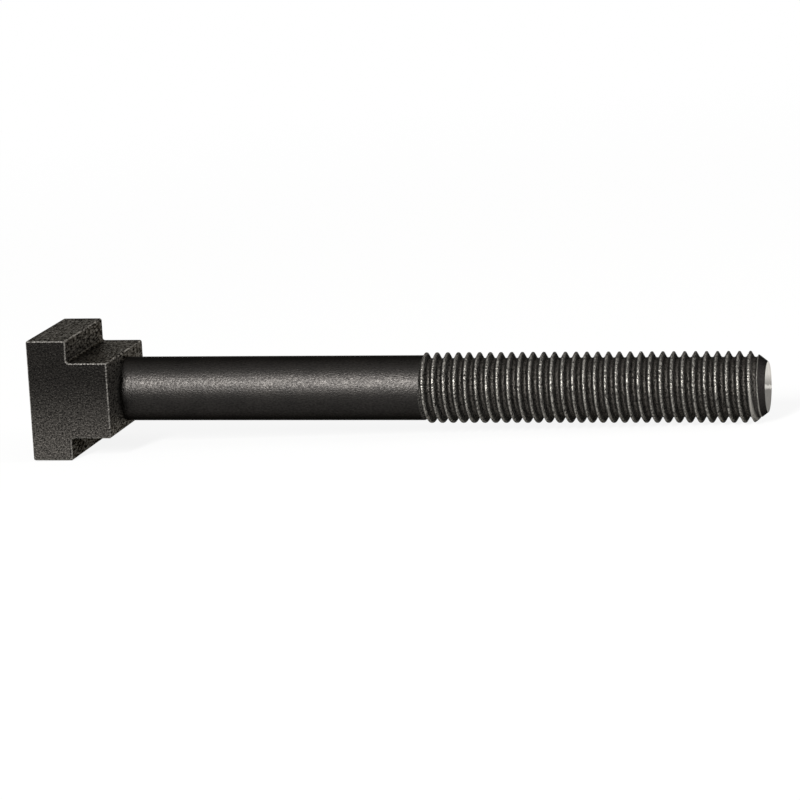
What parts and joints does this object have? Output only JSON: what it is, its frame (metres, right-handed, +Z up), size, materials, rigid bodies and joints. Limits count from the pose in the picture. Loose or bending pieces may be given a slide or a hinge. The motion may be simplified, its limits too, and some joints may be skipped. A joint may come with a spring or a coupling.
{
  "type": "T-slot bolt",
  "caption": "Black forged T-slot bolt with a square T head, a plain shank and a long half inch coarse thread.",
  "frame": {"origin": "centre of the bounding box in plan, on the floor on which the bolt lies", "axes": "+X runs along the bolt from the T head to the threaded end, which lies about 2.2 degrees lower; +Y across, along the depth of the T head; +Z up"},
  "size_m": [0.1338, 0.0222, 0.0225],
  "materials": {
    "black_oxide_steel": "black oxide, lightly oiled"
  },
  "bodies": {
    "root": {"t_slot_bolt": "black_oxide_steel"}
  },
  "joints": []
}
